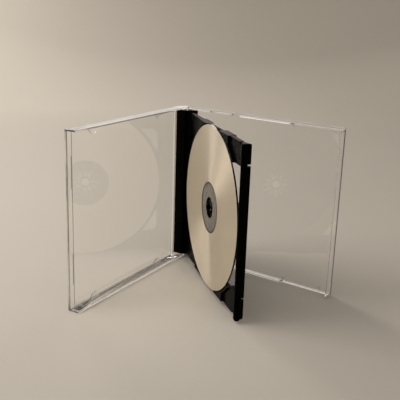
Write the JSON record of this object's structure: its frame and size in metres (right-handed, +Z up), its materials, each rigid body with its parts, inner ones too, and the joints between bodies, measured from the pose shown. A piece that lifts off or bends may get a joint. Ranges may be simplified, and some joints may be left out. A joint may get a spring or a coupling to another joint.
{
  "type": "double cd case",
  "caption": "Clear hinged disc case standing open like a book, with a black two-sided swing tray between its leaves and a printable disc on the tray's hub.",
  "frame": {"origin": "centre of the footprint of the open case, at the height of its bottom edges", "axes": "+Z up along the hinges, +X from the spine to the base's free edge, +Y out of the base's outer face, so that the lid opens towards -Y"},
  "size_m": [0.142, 0.1414, 0.125],
  "materials": {
    "clear_shell": "clear polished polystyrene",
    "black_inner": "black polystyrene, satin to glossy",
    "disc": "cream printable face round a clear polycarbonate middle"
  },
  "bodies": {
    "base": {"base": "clear_shell", "hinge_strip": "black_inner"},
    "lid": {"lid": "clear_shell"},
    "tray": {"swing_tray": "black_inner", "disc": "disc"}
  },
  "joints": [
    {"name": "lid_hinge", "type": "hinge", "parent": "base", "child": "lid", "pos_m": [-0.0655, 0.06555, 0.0625], "axis": [0, 0, -1], "range_deg": [-84, 96]},
    {"name": "tray_hinge", "type": "hinge", "parent": "base", "child": "tray", "pos_m": [-0.0595, 0.06555, 0.0625], "axis": [0, 0, -1], "range_deg": [-37, 42.3]}
  ],
  "couplings": [
    {"joint": "tray_hinge", "follows": "lid_hinge", "ratio": 0.44048}
  ]
}
